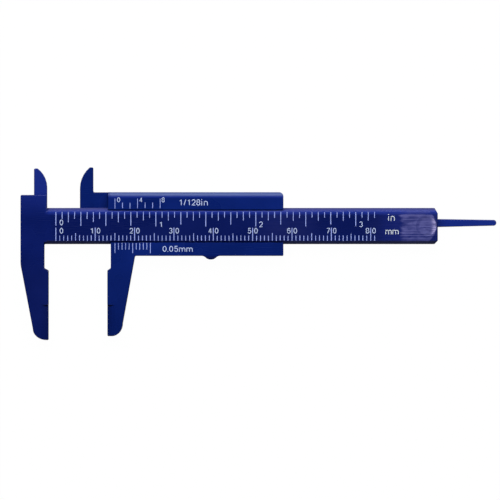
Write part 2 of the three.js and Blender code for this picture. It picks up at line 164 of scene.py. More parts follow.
# Scuffs with painted sheen, a painted highlight on the rail's edge, and a painted highlight crescent
SCUFF_AND_SHEEN_BLUE = (0.096, 0.100, 0.330)
RAIL_EDGE_HIGHLIGHT_BLUE = (0.130, 0.187, 0.433)
CRESCENT_HIGHLIGHT_BLUE = (0.370, 0.340, 0.660)
MARK_WHITE = (0.38, 0.475, 1.0)
NUMBER_WHITE = (0.575, 0.68, 1.0)
UNIT_WHITE = (0.85, 0.93, 1.0)
TABLE_WHITE = (0.19, 0.19, 0.19)
LAMP_WHITE = (1.0, 1.0, 1.0)

# Noise patterns: stretch along x, y and z, scale, detail and roughness
CLOUD = ((1, 1, 1), 0.09, 2.0, 0.5)
GRAIN = ((1, 1, 1), 9.0, 2.0, 0.5)
SCRATCHES = ((0.12, 4.0, 4.0), 1.6, 4.0, 0.65)
STREAKS = ((0.08, 2.2, 2.2), 1.0, 2.0, 0.6)
FINE_STREAKS = ((0.05, 3.6, 3.6), 1.0, 1.0, 0.5)
STREAK_ENDS = ((0.05, 1.6, 1.6), 1.0, 2.0, 0.5)
PATCHES = ((0.4, 0.8, 0.8), 0.9, 3.0, 0.5)
SPECKLE = ((1, 1, 1), 6.0, 3.0, 0.5)

# Plastic and ink. A ramp is from, to, and what it gives at each end
CLOUD_RAMP = (0.3, 0.7, 0.0, 1.0)
CLOUD_DARK = 0.85
CLOUD_LIGHT = 1.2
CLOUD_ROUGHNESS = (0.3, 0.7, 0.25, 0.3)
SCRATCH_RAMP = (0.58, 0.75, 0.0, 1.0)
SCRATCH_ROUGHNESS = 0.06
SCUFF_AND_SHEEN_ROUGHNESS = 0.35
GRAIN_HEIGHT = 0.3
SCRATCH_HEIGHT = 0.15
SCUFF_AND_SHEEN_HEIGHT = 0.6
PLASTIC_IOR = 1.5
PLASTIC_GLOSS = 0.26
PLASTIC_RELIEF = 0.03
INK_RAMP = (0.35, 0.6, 0.0, 1.0)
INK_THIN = 0.9
INK_ROUGHNESS = (0.3, 0.7, 0.42, 0.6)
INK_RELIEF = 0.01
RELIEF_STRENGTH = 0.1

# Where lighter colour is painted in as light, as ramps along x, y or z of the drawing. The zones that lie
# only on the front reach down from it by a depth and start softly there
FRONT_DEPTH = 1.0
FRONT_FADE = 0.2
BEVEL_LIGHT = (2.5, 3.6, 0.0, 0.95)
BEVEL_TOP = (3.75, 4.4, 1.0, 0.0)
BEVEL_START = (-1.2, 0.4, 0.0, 1.0)
HEAD_LIGHT = (2.0, 7.6, 0.0, 0.36)
HEAD_END = (-0.6, 0.4, 1.0, 0.0)
INSIDE_JAW_LIGHT = (7.85, 7.95, 0.0, 0.6)
ROD_LIGHT = (44.3, 46.0, 0.0, 0.5)
RAIL_EDGE_LIGHT = (6.9, 7.6, 0.0, 0.85)
RAIL_EDGE_TOP = (7.7, 8.2, 1.0, 0.0)
RAIL_START = (-0.3, 1.2, 0.0, 1.0)

# Where darker colour is painted in as shade
KNIFE_TOP = -20.1
KNIFE_FADE = 0.1
KNIFE_WIDTH = 1.95
FIXED_KNIFE_DARK = (KNIFE_TOP - KNIFE_FADE, KNIFE_TOP + KNIFE_FADE, 0.8, 0.0)
FIXED_KNIFE_BACK = (-KNIFE_WIDTH - 0.4, -KNIFE_WIDTH + 0.1, 0.0, 1.0)
FIXED_KNIFE_EDGE = (-KNIFE_WIDTH, 0.0, 0.5, 1.0)
MOVING_KNIFE_DARK = (KNIFE_TOP - KNIFE_FADE, KNIFE_TOP + KNIFE_FADE, 0.7, 0.0)
MOVING_KNIFE_EDGE = (0.0, KNIFE_WIDTH, 1.0, 0.0)
FIXED_JAW_DARK = (-14.0, -6.0, 0.42, 0.0)
MOVING_JAW_DARK = (-14.0, -7.0, 0.2, 0.0)
STOP_DARK = (-8.0, -7.3, 1.0, 0.0)
STOP_START = (20.0, 21.0, 0.0, 1.0)
PRINT_DARK = (0.4, 2.4, 0.0, 0.45)
PRINT_END = (83.0, 86.0, 1.0, 0.0)
PRINT_TOP = (2.5, 3.3, 1.0, 0.0)
PRINT_FOOT = (-4.0, -3.6, 0.0, 1.0)

# Scuffs, paler streaks, and painted sheen and highlights. Ramps named after streaks run along a noise
# pattern
# A painted highlight on the upper rail's round edge
RAIL_EDGE_SHEEN = (7.45, 7.75, 0.0, 0.5)
# A painted highlight on the beam's upper slope
BEVEL_SHEEN = (3.85, 4.0, 0.0, 0.48)
BEVEL_SHEEN_START = (-0.2, 0.2, 0.0, 1.0)
BEVEL_SHEEN_FOOT = (1.4, 1.6, 0.0, 1.0)
PALE_MIDDLE_START = (50.0, 58.0, 0.0, 1.0)
PALE_MIDDLE_END = (63.0, 72.0, 1.0, 0.0)
PALE_MIDDLE = 0.04
PALE_BEFORE_DISH = (78.0, 90.0, 0.0, 0.06)
PALE_STREAK_RAMP = (0.4, 0.6, 0.6, 1.4)

# The thumb dish and its dimple, whose walls run outwards from its middle, and end or start along x
DISH_START = (90.0, 91.4, 0.0, 1.0)
DISH_START_RAGGED = 2.0
DISH_END = (98.4, 98.8, 1.0, 0.1)
DISH_END_BULGE = 0.12
DISH_TOP = (2.7, 3.0, 1.0, 0.3)
DISH_FOOT = (-3.7, -2.8, 0.35, 1.0)
DISH_STREAKS = (0.38, 0.62, 0.3, 0.76)
DISH_FINE_STREAKS = (0.45, 0.62, -0.12, 0.5)
DISH_PATCHES = (0.38, 0.66, -0.2, 0.5)
DIMPLE_X = 96.05
DIMPLE_RIM = (2.5, 2.7, 1.0, 0.0)
NEAR_WALL = (0.9, 2.2, 0.0, 1.0)
NEAR_WALL_END = (-2.0, 0.2, 1.0, 0.0)
# The dish's painted sheen is laid fainter on the near wall, as painted shade
NEAR_WALL_SHADE = (0.0, 1.0, 1.0, 0.6)
# The far wall carries a painted highlight crescent
FAR_WALL = (1.0, 2.3, 0.0, 1.0)
FAR_WALL_START = (0.9, 2.0, 0.0, 1.0)
CRESCENT_STREAKS = (0.36, 0.6, 0.25, 1.0)

# Table and room. The table's size is in metres, and the room's ramp runs from overhead down to the horizon
TABLE_SIZE = 8.0
TABLE_GAP = 0.02
TABLE_GLOW = 1.085
TABLE_GLOW_SHARE = 0.91
ROOM_BRIGHTNESS = (0.85, 0.0, 0.014, 0.26)

# Lamps: azimuth and elevation in degrees, width and height in metres, and level
LAMP_DISTANCE = 1.2
LAMPS = {
    "key": (0, 48, 2.0, 0.64, 1.36),
    "backdrop glow": (0, 13, 1.6, 0.3, 0.2),
    "front fill": (180, 56, 1.0, 0.5, 0.13),
}

# Camera and picture. Only the view's end is in metres
PICTURE_PIXELS = 500
PIXELS_PER_MM = 3.9355
FACE_PIXEL = 48.2
CENTRE_LINE_PIXEL = 226.0
CAMERA_HEIGHT = 1200.0
SENSOR_MM = 36.0
VIEW_END = 100.0


# Materials

def new_material(name):
    """A material with an empty node tree."""
    material = bpy.data.materials.new(name)
    material.use_nodes = True
    tree = material.node_tree
    tree.nodes.clear()
    return material, tree


def add(tree, kind, inputs=None, **settings):
    """A node with its settings and with its inputs set or linked."""
    node = tree.nodes.new(kind)
    for key, value in settings.items():
        setattr(node, key, value)
    for key, value in (inputs or {}).items():
        if isinstance(value, bpy.types.NodeSocket):
            tree.links.new(value, node.inputs[key])
        else:
            node.inputs[key].default_value = value
    return node


def noise(tree, place, stretch, scale, detail, roughness):
    """Noise on the plastic, in millimetres, stretched by a factor on each axis."""
    mapping = add(tree, "ShaderNodeMapping", {"Vector": place, "Scale": scaled(stretch, 1 / MM)})
    inputs = {"Vector": mapping.outputs[0], "Scale": scale, "Detail": detail, "Roughness": roughness}
    return add(tree, "ShaderNodeTexNoise", inputs).outputs["Fac"]


def span(tree, value, low, high, to_low, to_high, smooth=False, clamp=True):
    """The value carried over from one range to another."""
    inputs = {"Value": value, "From Min": low, "From Max": high, "To Min": to_low, "To Max": to_high}
    kind = "SMOOTHSTEP" if smooth else "LINEAR"
    return add(tree, "ShaderNodeMapRange", inputs, interpolation_type=kind, clamp=clamp).outputs[0]


def combine(tree, operation, first, *others):
    """The values taken together by one operation, from left to right."""
    for value in others:
        first = add(tree, "ShaderNodeMath", {0: first, 1: value}, operation=operation).outputs[0]
    return first


def product(tree, *factors):
    return combine(tree, "MULTIPLY", *factors)


def total(tree, *parts):
    return combine(tree, "ADD", *parts)


def greatest(tree, *shares):
    return combine(tree, "MAXIMUM", *shares)


def scaled(values, factor):
    return tuple(value * factor for value in values)


def blend_colour(tree, factor, first, second):
    """The first colour where the factor is 0 and the second where it is 1."""
    node = add(tree, "ShaderNodeMix", data_type="RGBA")
    for socket, value in (("Factor", factor), ("A", first), ("B", second)):
        found = [s for s in node.inputs if s.name == socket and s.enabled][0]
        if isinstance(value, bpy.types.NodeSocket):
            tree.links.new(value, found)
        else:
            found.default_value = (*value, 1.0) if isinstance(value, tuple) else value
    return [s for s in node.outputs if s.enabled][0]


def finish_surface(tree, colour, rough, height, relief, gloss):
    """The shader, with a fine relief whose depth is in millimetres."""
    bump = add(tree, "ShaderNodeBump", {
        "Strength": RELIEF_STRENGTH, "Distance": relief * MM, "Height": height})
    shader = add(tree, "ShaderNodeBsdfPrincipled", {
        "Base Color": colour, "Roughness": rough, "Normal": bump.outputs[0], **gloss})
    add(tree, "ShaderNodeOutputMaterial", {"Surface": shader.outputs[0]})


def plastic(name, blue, painted_light, painted_shade, scuff_and_sheen, scuff_and_sheen_blue):
    """Moulded blue plastic: slightly uneven colour, the mould's fine grain and light handling scratches.
    The first zone says where lighter colour is painted in as light and the second where darker colour is
    painted in as shade, from 0 to 1. The third gives how much the plastic is scuffed or carries painted
    sheen, and how much a highlight is painted, both from 0 to 1. Each takes the node tree and the place."""
    material, tree = new_material(name)
    place = add(tree, "ShaderNodeTexCoord").outputs["Object"]
    cloud = noise(tree, place, *CLOUD)
    grain = noise(tree, place, *GRAIN)
    scratch = span(tree, noise(tree, place, *SCRATCHES), *SCRATCH_RAMP)
    scuff_and_sheen_share, highlight_share = scuff_and_sheen(tree, place)
    # Painted light, painted shade, scuffs with painted sheen, and a painted highlight, laid over the blue
    tints = (
        (painted_light(tree, place), PAINTED_LIGHT_BLUE),
        (painted_shade(tree, place), PAINTED_SHADE_BLUE),
        (scuff_and_sheen_share, scuff_and_sheen_blue),
        (highlight_share, CRESCENT_HIGHLIGHT_BLUE),
    )
    colour = blend_colour(tree, span(tree, cloud, *CLOUD_RAMP),
                          scaled(blue, CLOUD_DARK), scaled(blue, CLOUD_LIGHT))
    for share, tint in tints:
        colour = blend_colour(tree, share, colour, tint)
    rough = total(tree, span(tree, cloud, *CLOUD_ROUGHNESS),
                  product(tree, scratch, SCRATCH_ROUGHNESS), product(tree, scuff_and_sheen_share, SCUFF_AND_SHEEN_ROUGHNESS))
    height = total(tree, product(tree, grain, GRAIN_HEIGHT),
                   product(tree, scratch, SCRATCH_HEIGHT), product(tree, scuff_and_sheen_share, SCUFF_AND_SHEEN_HEIGHT))
    gloss = {"IOR": PLASTIC_IOR, "Specular IOR Level": PLASTIC_GLOSS}
    finish_surface(tree, colour, rough, height, PLASTIC_RELIEF, gloss)
    return material


def ink(name, white):
    """White printing ink, laid so thinly that the blue tints it, and a little uneven."""
    material, tree = new_material(name)
    place = add(tree, "ShaderNodeTexCoord").outputs["Object"]
    speckle = noise(tree, place, *SPECKLE)
    colour = blend_colour(tree, span(tree, speckle, *INK_RAMP), scaled(white, INK_THIN), white)
    rough = span(tree, speckle, *INK_ROUGHNESS)
    finish_surface(tree, colour, rough, speckle, INK_RELIEF, {})
    return material


# Zones of the plastic, as shares from 0 to 1

def drawn_place(tree, place, face_x):
    """x from the measuring face, y from the centre line and z from the table, in millimetres."""
    split = add(tree, "ShaderNodeSeparateXYZ", {0: place})
    return tuple(span(tree, split.outputs[axis], start * MM, (start + 1) * MM, 0.0, 1.0, clamp=False)
                 for axis, start in (("X", face_x), ("Y", centre_y), ("Z", 0.0)))


def near_front(tree, z, front):
    """The faces near the front, not those further down."""
    return span(tree, z, front - FRONT_DEPTH, front - FRONT_DEPTH + FRONT_FADE, 0.0, 1.0)


def beam_thin(tree, place):
    """Painted light: the dovetail's upper edge, the whole inside jaw, and the head a little towards its
    top, painted lighter.
    """
    x, y, z = drawn_place(tree, place, fixed_x)
    edge = product(tree, span(tree, y, *BEVEL_LIGHT, smooth=True), span(tree, y, *BEVEL_TOP),
                   span(tree, x, *BEVEL_START), near_front(tree, z, beam_high.z))
    head = product(tree, span(tree, y, *HEAD_LIGHT), span(tree, x, *HEAD_END))
    return greatest(tree, edge, head, span(tree, y, *INSIDE_JAW_LIGHT))


def slider_thin(tree, place):
    """Painted light: the depth rod and the upper rail's round edge, painted lighter."""
    x, y, z = drawn_place(tree, place, moving_x)
    rod = span(tree, x, *ROD_LIGHT, smooth=True)
    edge = product(tree, span(tree, y, *RAIL_EDGE_LIGHT, smooth=True), span(tree, y, *RAIL_EDGE_TOP),
                   span(tree, x, *RAIL_START), near_front(tree, z, slider_high.z))
    return greatest(tree, rod, edge)


def beam_ground(tree, place):
    """Painted shade: the knife of the fixed jaw, darker towards its measuring edge, and fainter the jaw's
    lower part and the printed face."""
    x, y, z = drawn_place(tree, place, fixed_x)
    knife = product(tree, span(tree, y, *FIXED_KNIFE_DARK), span(tree, x, *FIXED_KNIFE_BACK),
                    span(tree, x, *FIXED_KNIFE_EDGE))
    face = product(tree, span(tree, x, *PRINT_DARK, smooth=True), span(tree, x, *PRINT_END, smooth=True),
                   span(tree, y, *PRINT_TOP, smooth=True), span(tree, y, *PRINT_FOOT),
                   near_front(tree, z, beam_high.z))
    return greatest(tree, knife, span(tree, y, *FIXED_JAW_DARK), face)


def slider_ground(tree, place):
    """Painted shade: the knife of the moving jaw, darker towards its measuring edge, faintly the jaw's
    lower part, and the thumb stop towards its edge."""
    x, y, _ = drawn_place(tree, place, moving_x)
    knife = product(tree, span(tree, y, *MOVING_KNIFE_DARK), span(tree, x, *MOVING_KNIFE_EDGE))
    stop = product(tree, span(tree, y, *STOP_DARK), span(tree, x, *STOP_START))
    return greatest(tree, knife, span(tree, y, *MOVING_JAW_DARK), stop)


def haze(tree, x, along):
    """Faintly paler streaks in the middle of the beam, and more towards the dish."""
    pale_middle = combine(tree, "MINIMUM", span(tree, x, *PALE_MIDDLE_START, smooth=True),
                    span(tree, x, *PALE_MIDDLE_END, smooth=True))
    most = greatest(tree, product(tree, pale_middle, PALE_MIDDLE), span(tree, x, *PALE_BEFORE_DISH))
    return product(tree, most, span(tree, along, *PALE_STREAK_RAMP))


def dish_streaks(tree, place, along):
    """Coarse and fine streaks of scuff and painted sheen along the thumb dish, stronger in patches."""
    fine = noise(tree, place, *FINE_STREAKS)
    patches = noise(tree, place, *PATCHES)
    return total(tree, span(tree, along, *DISH_STREAKS), span(tree, fine, *DISH_FINE_STREAKS),
                 span(tree, patches, *DISH_PATCHES))


def dish_outline(tree, place, x, y):
    """The dish: ragged where it starts, bulging at its far end, and fainter along both sides."""
    ends = noise(tree, place, *STREAK_ENDS)
    ragged = total(tree, x, product(tree, ends, DISH_START_RAGGED))
    bulge = total(tree, x, product(tree, y, y, DISH_END_BULGE))
    return product(tree, span(tree, ragged, *DISH_START, smooth=True),
                   span(tree, bulge, *DISH_END, smooth=True),
                   span(tree, y, *DISH_TOP, smooth=True),
                   span(tree, y, *DISH_FOOT, smooth=True))


def dimple_walls(tree, x, y):
    """The wall of the dimple towards the jaws, and the wall towards the beam's end."""
    from_x = combine(tree, "SUBTRACT", x, DIMPLE_X)
    squares = total(tree, product(tree, from_x, from_x), product(tree, y, y))
    radius = combine(tree, "POWER", squares, 0.5)
    inside = span(tree, radius, *DIMPLE_RIM, smooth=True)
    near = product(tree, inside, span(tree, radius, *NEAR_WALL, smooth=True),
                   span(tree, from_x, *NEAR_WALL_END, smooth=True))
    far = product(tree, inside, span(tree, radius, *FAR_WALL, smooth=True),
                  span(tree, from_x, *FAR_WALL_START, smooth=True))
    return near, far


def beam_scuff(tree, place):
    """Scuffed streaks with painted sheen in the thumb dish, paler streaks before it, a painted highlight on
    the upper slope, and apart from them a painted highlight crescent on the dimple's far wall."""
    x, y, z = drawn_place(tree, place, fixed_x)
    along = noise(tree, place, *STREAKS)
    front = near_front(tree, z, beam_high.z)
    near_wall, far_wall = dimple_walls(tree, x, y)
    # Scuffs and painted sheen in the dish, fainter on the dimple's near wall as painted shade
    dish = product(tree, dish_streaks(tree, place, along), dish_outline(tree, place, x, y), front,
                   span(tree, near_wall, *NEAR_WALL_SHADE))
    # A painted highlight on the upper slope
    slope = product(tree, span(tree, y, *BEVEL_SHEEN), span(tree, x, *BEVEL_SHEEN_START),
                    span(tree, z, *BEVEL_SHEEN_FOOT))
    # A painted highlight crescent on the dimple's far wall
    crescent = product(tree, far_wall, front, span(tree, along, *CRESCENT_STREAKS))
    return greatest(tree, dish, product(tree, haze(tree, x, along), front), slope), crescent


def rail_scuff(tree, place):
    """A painted highlight on the upper rail's round edge. The slider has no dimple."""
    x, y, z = drawn_place(tree, place, moving_x)
    edge = product(tree, span(tree, y, *RAIL_EDGE_SHEEN), span(tree, x, *RAIL_START),
                   near_front(tree, z, slider_high.z))
    return edge, 0.0


# Moulded pieces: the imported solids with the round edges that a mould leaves

def round_edges(shape, radius, crisp, rounding):
    """Rounds the outer edges but the crisp ones, and numbers the new faces 1 in the layer."""
    rounded = [e for e in shape.edges if len(e.link_faces) == 2 and e.is_convex
               and e.calc_face_angle() > ROUND_ANGLE and not crisp(e)]
    made = bmesh.ops.bevel(shape, geom=rounded, offset=radius * MM, offset_type="OFFSET", affect="EDGES",
                           segments=EDGE_SEGMENTS, profile=EDGE_PROFILE, clamp_overlap=False)
    for face in made["faces"]:
        face[rounding] = 1
    bmesh.ops.remove_doubles(shape, verts=shape.verts, dist=FOLD_DISTANCE * MM)


def blended_normal(normal, faces, limit):
    """The mean of the faces that lie within an angle of a normal, by their area."""
    near = [f for f in faces if f.normal.angle(normal, math.pi) < limit]
    return sum((f.normal * f.calc_area() for f in near), Vector()).normalized() if near else normal


def corner_normals(shape, rounding):
    """Shading normals: the solid's own faces stay even, and the rounded ones lead from one to the next."""
    normals = []
    for face in shape.faces:
        for corner in face.loops:
            around = corner.vert.link_faces
            plain = [f for f in around if not f[rounding]]
            if not face[rounding]:
                normals.append(blended_normal(face.normal, plain, CRISP_ANGLE))
                continue
            nearest = min(plain, key=lambda f: f.normal.angle(face.normal, math.pi), default=face)
            if nearest is not face and nearest.normal.angle(face.normal, math.pi) < ROUND_ANGLE:
                normals.append(blended_normal(nearest.normal, plain, CRISP_ANGLE))
            else:
                rounded = [f for f in around if f[rounding]]
                normals.append(blended_normal(face.normal, rounded, ROUND_ANGLE))
    return normals


def moulded(node, body, material, radius, crisp, ceiling=math.inf):
    """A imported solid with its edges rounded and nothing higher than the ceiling."""
    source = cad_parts[node]
    shape = bmesh.new()
    shape.from_mesh(source.data)
    rounding = shape.faces.layers.int.new("rounding")
    bmesh.ops.remove_doubles(shape, verts=shape.verts, dist=WELD_DISTANCE * MM)
    bmesh.ops.dissolve_limit(shape, angle_limit=FLAT_ANGLE, verts=shape.verts, edges=shape.edges)
    round_edges(shape, radius, crisp, rounding)
    for vertex in shape.verts:
        vertex.co.z = min(vertex.co.z, ceiling * MM)
    for face in shape.faces:
        face.smooth = True
        face.normal_update()
    normals = corner_normals(shape, rounding)
    shape.faces.layers.int.remove(rounding)
    mesh = bpy.data.meshes.new(node + "_moulding")
    shape.to_mesh(mesh)
    shape.free()
    mesh.normals_split_custom_set(normals)
    piece = bpy.data.objects.new(node + "_moulding", mesh)
    bpy.context.collection.objects.link(piece)
    mesh.materials.append(material)
    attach(piece, body)
    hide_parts(node)
    return piece


def at_tongue_root(edge):
    """The tongue is one piece with the plate, so its root has no round edge."""
    return all(abs(v.co.x / MM - tongue_high.x) < PLACE_TOLERANCE
               and tongue_low.y - PLACE_TOLERANCE < v.co.y / MM < tongue_high.y + PLACE_TOLERANCE
               for v in edge.verts)


def on_lip(edge):
    """The upper lip's inner edge, along the beam."""
    return all(v.co.z / MM > beam_high.z and 0 < v.co.y / MM - centre_y < LIP_REACH for v in edge.verts)


def is_slider_crisp(edge):
    """The edges of the slider that the mould leaves sharp."""
    return at_tongue_root(edge) or on_lip(edge)


def is_beam_crisp(edge):
    """The two long edges of the beam's front face."""
    return all(v.co.z / MM > beam_high.z - PLACE_TOLERANCE and v.co.x / MM > fixed_x - PLACE_TOLERANCE
               and abs(abs(v.co.y / MM - centre_y) - FRONT_EDGE) < PLACE_TOLERANCE for v in edge.verts)


# Ink

def ink_levels(surface):
    """Where ink starts, a little inside the surface, and its raised top, in metres."""
    return (surface - INK_SUNK) * MM, (surface + INK_THICKNESS) * MM


def finish_ink(name, shape, body, material):
    """Makes the shape a piece of ink on a body."""
    mesh = bpy.data.meshes.new(name)
    bmesh.ops.recalc_face_normals(shape, faces=shape.faces)
    shape.to_mesh(mesh)
    shape.free()
    mesh.materials.append(material)
    piece = bpy.data.objects.new(name, mesh)
    bpy.context.collection.objects.link(piece)
    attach(piece, body)
    return piece


def mark_outline(x, foot, top, width):
    """A printed line with slightly uneven width and round ends."""
    half = (width + dice.uniform(-MARK_WIDTH_SPREAD, MARK_WIDTH_SPREAD)) / 2
    foot += dice.uniform(-MARK_END_SPREAD, MARK_END_SPREAD)
    top += dice.uniform(-MARK_END_SPREAD, MARK_END_SPREAD)
    outline = []
    for end, start in ((foot + half, 1), (top - half, 0)):
        for i in range(MARK_END_STEPS + 1):
            turn = math.pi * (start + i / MARK_END_STEPS)
            outline.append((x + half * math.cos(turn), end + half * math.sin(turn)))
    return outline


def print_marks(name, marks, face_x, surface, body, material):
    """marks are (x, foot, top, width), x from the jaw's measuring face and y from the centre line."""
    shape = bmesh.new()
    low, high = ink_levels(surface)
    for x, foot, top, width in marks:
        points = mark_outline(face_x + x, centre_y + foot, centre_y + top, width)
        bottom_ring = [shape.verts.new((px * MM, py * MM, low)) for px, py in points]
        top_ring = [shape.verts.new((px * MM, py * MM, high)) for px, py in points]
        shape.faces.new(top_ring)
        shape.faces.new(list(reversed(bottom_ring)))
        for i in range(len(points)):
            j = (i + 1) % len(points)
            shape.faces.new((bottom_ring[i], bottom_ring[j], top_ring[j], top_ring[i]))
    return finish_ink(name, shape, body, material)


def bow(middle_x, middle_y, reach_x, reach_y, start, end):
    """Points along an ellipse from one angle to another, in degrees, clockwise when end is smaller."""
    steps = round(abs(end - start) / BOW_STEP)
    turns = [math.radians(start + (end - start) * i / steps) for i in range(steps + 1)]
    return [(middle_x + reach_x * math.cos(turn), middle_y + reach_y * math.sin(turn)) for turn in turns]


def ring(middle_x, middle_y, reach_x, reach_y):
    """A whole ellipse, which ends where it starts."""
    return bow(middle_x, middle_y, reach_x, reach_y, 0, 360)


# Strokes of each character, as shares of its own width and height
STROKES = {
    "0": [ring(0.5, 0.5, 0.5, 0.5)],
    "1": [[(0.65, 0), (0.65, 1)], [(0.65, 0.97), (0.15, 0.72)]],
    "2": [bow(0.5, 0.7, 0.5, 0.3, 170, -40) + [(0, 0), (1, 0)]],
    "3": [bow(0.5, 0.76, 0.45, 0.24, 160, -90), bow(0.5, 0.26, 0.5, 0.26, 90, -160)],
    "4": [[(1, 0.26), (0.02, 0.26), (0.74, 1)], [(0.74, 1), (0.74, 0)]],
    "5": [[(0.92, 1), (0.17, 1), (0.08, 0.46)] + bow(0.5, 0.32, 0.5, 0.32, 135, -155)],
    "6": [ring(0.5, 0.32, 0.5, 0.32), [(0, 0.32)] + bow(0.54, 0.5, 0.54, 0.5, 180, 45)],
    "7": [[(0, 1), (1, 1), (0.36, 0)]],
    "8": [ring(0.5, 0.76, 0.44, 0.24), ring(0.5, 0.26, 0.5, 0.26)],
    "/": [[(0, 0), (1, 1)]],
    ".": [[(0.5, -0.06), (0.5, 0.06)]],
    "i": [[(0.2, -0.06), (0.2, 0.7)], [(0.2, 0.92), (0.2, 1.06)]],
    "n": [[(0, -0.06), (0, 0.72)], [(0, 0.4)] + bow(0.5, 0.42, 0.5, 0.26, 150, 0) + [(1, -0.06)]],
    "m": [[(0, -0.06), (0, 0.72)], [(0, 0.42)] + bow(0.25, 0.42, 0.25, 0.26, 130, 0) + [(0.5, -0.06)],
          [(0.5, 0.42)] + bow(0.75, 0.42, 0.25, 0.26, 130, 0) + [(1, -0.06)]],
}
CHARACTER_WIDTHS = {"1": 0.5, "/": 0.3, ".": 0.0, "i": 0.19, "n": 0.52, "m": 0.9}
DIGIT_WIDTH = 0.51
CHARACTER_GAP = 0.15


def ribbon(points, width):
    """Pairs of points to the left and right of a stroke, with mitred corners."""
    closed = math.dist(points[0], points[-1]) < JOIN_GAP
    path = [Vector(p) for p in (points[:-1] if closed else points)]
    count = len(path)
    pairs = []
    for i, point in enumerate(path):
        before = path[i - 1] if closed or i > 0 else point * 2 - path[1]
        after = path[(i + 1) % count] if closed or i < count - 1 else point * 2 - path[i - 1]
        into = (point - before).normalized()
        out = (after - point).normalized()
        along = (into + out).normalized()
        across = Vector((-along.y, along.x))
        reach = min(MITRE_LIMIT, 1 / max(JOIN_GAP, into.dot(along))) * width / 2
        pairs.append((point + across * reach, point - across * reach))
    return pairs + pairs[:1] if closed else pairs


def add_stroke(shape, pairs, low, high):
    """A thin raised stroke, flat on top."""
    rows = []
    for left, right in pairs:
        corners = ((left, high), (right, high), (right, low), (left, low))
        rows.append([shape.verts.new((p.x * MM, p.y * MM, z)) for p, z in corners])
    if (pairs[0][0] - pairs[-1][0]).length < JOIN_GAP:
        for spare in rows.pop():
            shape.verts.remove(spare)
        rows.append(rows[0])
    else:
        shape.faces.new(rows[0])
        shape.faces.new(list(reversed(rows[-1])))
    for first, second in zip(rows, rows[1:]):
        for i in range(len(first)):
            j = (i + 1) % len(first)
            shape.faces.new((first[i], second[i], second[j], first[j]))


def print_words(name, entries, face_x, surface, body, material):
    """entries are (words, middle, foot, height, weight, length). Length None leaves the spacing plain."""
    shape = bmesh.new()
    low, high = ink_levels(surface)
    for words, middle, foot, height, weight, length in entries:
        stroke = weight * height
        widths = [CHARACTER_WIDTHS.get(character, DIGIT_WIDTH) * height for character in words]
        gap = CHARACTER_GAP * height + stroke
        natural = sum(widths) + gap * (len(words) - 1)
        stretch = (length - stroke) / natural if length else 1.0
        x = face_x + middle - natural * stretch / 2
        for character, width in zip(words, widths):
            for path in STROKES[character]:
                points = [(x + u * width * stretch, centre_y + foot + stroke / 2 + v * (height - stroke))
                          for u, v in path]
                add_stroke(shape, ribbon(points, stroke), low, high)
            x += (width + gap) * stretch
    return finish_ink(name, shape, body, material)


# The scales

def mark_kind(i, kinds):
    """The first kind of mark whose step goes into the mark's count."""
    return next(kind for kind, step in kinds if i % step == 0)


def beam_mm_marks():
    """A mark at each millimetre, longer at each fifth and again at each tenth."""
    marks = []
    for i in range(MM_MARKS):
        kind = mark_kind(i, MM_KINDS)
        width = LONG_MARK_WIDTH if kind == "ten" else MARK_WIDTH
        marks.append((ZERO_FROM_FACE + i, MM_MARK_FOOT, MM_MARK_TOPS[kind], width))
    return marks


def beam_inch_marks():
    """A mark at each sixteenth of an inch. The first marks are printed longer than the rest."""
    marks = []
    for i in range(SIXTEENTH_MARKS):
        kind = mark_kind(i, INCH_KINDS)
        width = LONG_MARK_WIDTH if kind in ("half", "quarter") else MARK_WIDTH
        feet = FIRST_INCH_MARK_FEET if i < FIRST_INCH_MARKS else INCH_MARK_FEET
        x = ZERO_FROM_FACE + i * INCH / SIXTEENTHS
        marks.append((x, feet[kind], INCH_MARK_TOP, width))
    return marks


def beam_numbers():
    """The two digits of each ten stand on both sides of its mark, so they are entries of their own."""
    size = (BEAM_NUMBER_HEIGHT, NUMBER_WEIGHT, None)
    entries = [("0", ZERO_FROM_FACE + MM_FIRST_NUMBER, MM_NUMBER_FOOT, *size)]
    for tens in range(1, (MM_MARKS - 1) // MM_PER_NUMBER + 1):
        x = ZERO_FROM_FACE + tens * MM_PER_NUMBER
        entries.append((str(tens), x + MM_LEFT_DIGIT, MM_NUMBER_FOOT, *size))
        entries.append(("0", x + MM_RIGHT_DIGIT, MM_NUMBER_FOOT, *size))
    entries.append(("0", ZERO_FROM_FACE + INCH_ZERO_OFFSET, INCH_ZERO_FOOT, *size))
    for inches in range(1, (SIXTEENTH_MARKS - 1) // SIXTEENTHS + 1):
        x = ZERO_FROM_FACE + inches * INCH + INCH_NUMBER_OFFSET
        entries.append((str(inches), x, INCH_NUMBER_FOOT, *size))
    return entries


def inch_vernier_marks():
    """Each long mark carries a number."""
    return [(ZERO_FROM_FACE + i * INCH_VERNIER_STEP, INCH_VERNIER_FOOT,
             INCH_VERNIER_TOPS[mark_kind(i, INCH_VERNIER_KINDS)], VERNIER_MARK_WIDTH)
            for i in range(INCH_VERNIER_MARKS)]


def inch_vernier_numbers():
    """The numbers stand to the right of their marks."""
    step = INCH_VERNIER_MARKS_PER_NUMBER * INCH_VERNIER_STEP
    return [(number, ZERO_FROM_FACE + i * step + offset,
             INCH_VERNIER_NUMBER_FOOT, INCH_VERNIER_NUMBER_HEIGHT, NUMBER_WEIGHT, None)
            for i, (number, offset) in enumerate(INCH_VERNIER_NUMBERS)]


def mm_vernier_marks():
    """Ten steps over nine millimetres, with each fifth mark long."""
    return [(ZERO_FROM_FACE + i * MM_VERNIER_STEP, MM_VERNIER_FEET[mark_kind(i, MM_VERNIER_KINDS)],
             MM_VERNIER_TOP, VERNIER_MARK_WIDTH)
            for i in range(MM_VERNIER_MARKS)]


# Table, lamps and camera

